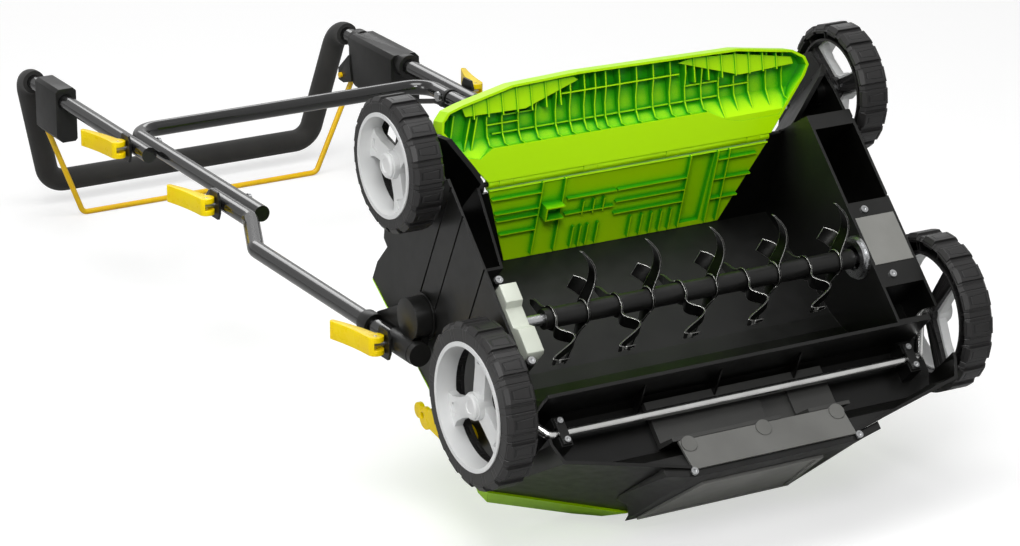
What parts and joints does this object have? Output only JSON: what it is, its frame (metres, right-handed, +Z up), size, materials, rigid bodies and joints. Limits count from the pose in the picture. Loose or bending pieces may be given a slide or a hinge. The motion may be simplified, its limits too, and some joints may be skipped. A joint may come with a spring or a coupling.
{
  "type": "lawn scarifier",
  "caption": "Electric lawn scarifier with a knife rotor, hooded deck, hinged rear flap, wheels and a three-part folding handle, tipped on its hood for storage.",
  "frame": {"origin": "floor level under the middle of the machine as it lies tipped on its hood and bail", "axes": "+X to the side with the switch box, +Y from the deck along the handle to the grip, +Z up from the floor"},
  "size_m": [0.6114, 1.4258, 0.4491],
  "materials": {
    "black_plastic": "fine moulded texture",
    "lime_plastic": "semi gloss",
    "yellow_plastic": "semi gloss",
    "yellow_metal": "powder coat",
    "rim_grey": "fine moulded texture",
    "nose_grey": "fine moulded texture",
    "bearing_white": "moulded",
    "tube_black": "gloss coat",
    "foam_black": "closed-cell foam",
    "cable_black": "smooth sheath",
    "tyre_black": "moulded",
    "knife_steel": "tempered spring steel",
    "bright_steel": "zinc plated",
    "axle_chrome": "plated",
    "motor_black": "enamel"
  },
  "bodies": {
    "deck": {"chassis": "black_plastic", "hood": "lime_plastic", "chute_panel": "lime_plastic", "nose_bumper": "black_plastic", "nose_panel": "nose_grey", "front_cover": "black_plastic", "inner_tray": "nose_grey", "belt_cover": "rim_grey", "bearing_ring": "bright_steel", "bearing_block": "bearing_white", "deck_screws": "bright_steel", "axle_clamps": "bright_steel", "motor": "motor_black", "rear_stub_axles": "bright_steel", "flap_pins": "bright_steel"},
    "rotor": {"rotor_shaft": "bright_steel", "rotor_spacers": "black_plastic", "rotor_knives": "knife_steel"},
    "flap": {"rear_flap": "lime_plastic"},
    "axle": {"front_axle": "axle_chrome"},
    "depth_lever": {"height_lever": "yellow_plastic"},
    "wheel_rear_left": {"tyre_rear_left": "tyre_black", "rim_rear_left": "rim_grey", "hub_cap_rear_left": "rim_grey"},
    "wheel_rear_right": {"tyre_rear_right": "tyre_black", "rim_rear_right": "rim_grey", "hub_cap_rear_right": "rim_grey"},
    "wheel_front_left": {"tyre_front_left": "tyre_black", "rim_front_left": "rim_grey", "hub_cap_front_left": "rim_grey"},
    "wheel_front_right": {"tyre_front_right": "tyre_black", "rim_front_right": "rim_grey", "hub_cap_front_right": "rim_grey"},
    "lower_handle": {"bracket_arm_left": "black_plastic", "bracket_arm_right": "black_plastic", "lower_tube_left": "tube_black", "lower_tube_right": "tube_black", "lower_tube_caps": "black_plastic", "cam_bolts_lower": "bright_steel", "cam_washers_lower": "black_plastic", "cable_lower": "cable_black"},
    "middle_handle": {"middle_frame": "tube_black", "cam_bolts_middle": "bright_steel", "cam_washers_middle": "black_plastic", "cable_middle": "cable_black"},
    "upper_handle": {"grip_tube": "tube_black", "foam_grip": "foam_black", "bail_bracket": "black_plastic", "switch_box": "black_plastic", "cam_bolts_upper": "bright_steel", "cam_washers_upper": "black_plastic", "cable_upper": "cable_black"},
    "cam_lower_left": {"cam_lever_lower_left": "yellow_plastic"},
    "cam_lower_right": {"cam_lever_lower_right": "yellow_plastic"},
    "cam_middle_left": {"cam_lever_middle_left": "yellow_plastic"},
    "cam_middle_right": {"cam_lever_middle_right": "yellow_plastic"},
    "cam_upper_left": {"cam_lever_upper_left": "yellow_plastic"},
    "cam_upper_right": {"cam_lever_upper_right": "yellow_plastic"},
    "bail_bar": {"bail": "yellow_metal"},
    "safety_button": {"lock_button": "yellow_plastic"}
  },
  "joints": [
    {"name": "rotor_spin", "type": "hinge", "parent": "deck", "child": "rotor", "pos_m": [0, -0.56767, 0.24739], "axis": [1, 0, 0], "continuous": true},
    {"name": "flap_hinge", "type": "hinge", "parent": "deck", "child": "flap", "pos_m": [0, -0.42035, 0.34331], "axis": [-1, 0, 0], "range_deg": [0, 80], "stiffness_Nm_per_rad": 0.3, "springref_deg": -34.38},
    {"name": "height_lever_turn", "type": "hinge", "parent": "deck", "child": "depth_lever", "pos_m": [-0.248, -0.52341, 0.11834], "axis": [-1, 0, 0], "range_deg": [0, 40]},
    {"name": "axle_swing", "type": "hinge", "parent": "deck", "child": "axle", "pos_m": [0, -0.63558, 0.15245], "axis": [1, 0, 0], "range_deg": [0, 22]},
    {"name": "wheel_rear_left_spin", "type": "hinge", "parent": "deck", "child": "wheel_rear_left", "pos_m": [-0.268, -0.41249, 0.37912], "axis": [1, 0, 0], "continuous": true},
    {"name": "wheel_rear_right_spin", "type": "hinge", "parent": "deck", "child": "wheel_rear_right", "pos_m": [0.268, -0.41249, 0.37912], "axis": [1, 0, 0], "continuous": true},
    {"name": "wheel_front_left_spin", "type": "hinge", "parent": "axle", "child": "wheel_front_left", "pos_m": [-0.272, -0.5918, 0.1811], "axis": [1, 0, 0], "continuous": true},
    {"name": "wheel_front_right_spin", "type": "hinge", "parent": "axle", "child": "wheel_front_right", "pos_m": [0.272, -0.5918, 0.1811], "axis": [1, 0, 0], "continuous": true},
    {"name": "handle_fold", "type": "hinge", "parent": "deck", "child": "lower_handle", "pos_m": [0, -0.41943, 0.21371], "axis": [1, 0, 0], "range_deg": [0, 60]},
    {"name": "middle_fold", "type": "hinge", "parent": "lower_handle", "child": "middle_handle", "pos_m": [0, 0.1004, 0.181], "axis": [1, 0, 0], "range_deg": [0, 100]},
    {"name": "upper_fold", "type": "hinge", "parent": "middle_handle", "child": "upper_handle", "pos_m": [0, 0.3444, 0.181], "axis": [1, 0, 0], "range_deg": [0, 90]},
    {"name": "cam_lower_left_turn", "type": "hinge", "parent": "lower_handle", "child": "cam_lower_left", "pos_m": [-0.2853, -0.3916, 0.181], "axis": [0, 0, 1], "range_deg": [0, 100]},
    {"name": "cam_lower_right_turn", "type": "hinge", "parent": "lower_handle", "child": "cam_lower_right", "pos_m": [0.2853, -0.3916, 0.181], "axis": [0, 0, -1], "range_deg": [0, 100]},
    {"name": "cam_middle_left_turn", "type": "hinge", "parent": "middle_handle", "child": "cam_middle_left", "pos_m": [-0.2426, 0.1004, 0.181], "axis": [0, 0, 1], "range_deg": [0, 100]},
    {"name": "cam_middle_right_turn", "type": "hinge", "parent": "middle_handle", "child": "cam_middle_right", "pos_m": [0.2426, 0.1004, 0.181], "axis": [0, 0, -1], "range_deg": [0, 100]},
    {"name": "cam_upper_left_turn", "type": "hinge", "parent": "upper_handle", "child": "cam_upper_left", "pos_m": [-0.2426, 0.3444, 0.181], "axis": [0, 0, 1], "range_deg": [0, 100]},
    {"name": "cam_upper_right_turn", "type": "hinge", "parent": "upper_handle", "child": "cam_upper_right", "pos_m": [0.2426, 0.3444, 0.181], "axis": [0, 0, -1], "range_deg": [0, 100]},
    {"name": "bail_squeeze", "type": "hinge", "parent": "upper_handle", "child": "bail_bar", "pos_m": [0, 0.6254, 0.135], "axis": [1, 0, 0], "range_deg": [0, 20.5], "stiffness_Nm_per_rad": 2, "springref_deg": -57.3},
    {"name": "safety_button_press", "type": "slide", "parent": "upper_handle", "child": "safety_button", "axis": [-1, 0, 0], "range_m": [0, 0.005], "stiffness_N_per_m": 200, "springref_m": -0.004}
  ],
  "couplings": [
    {"joint": "axle_swing", "follows": "height_lever_turn", "ratio": 0.55}
  ]
}
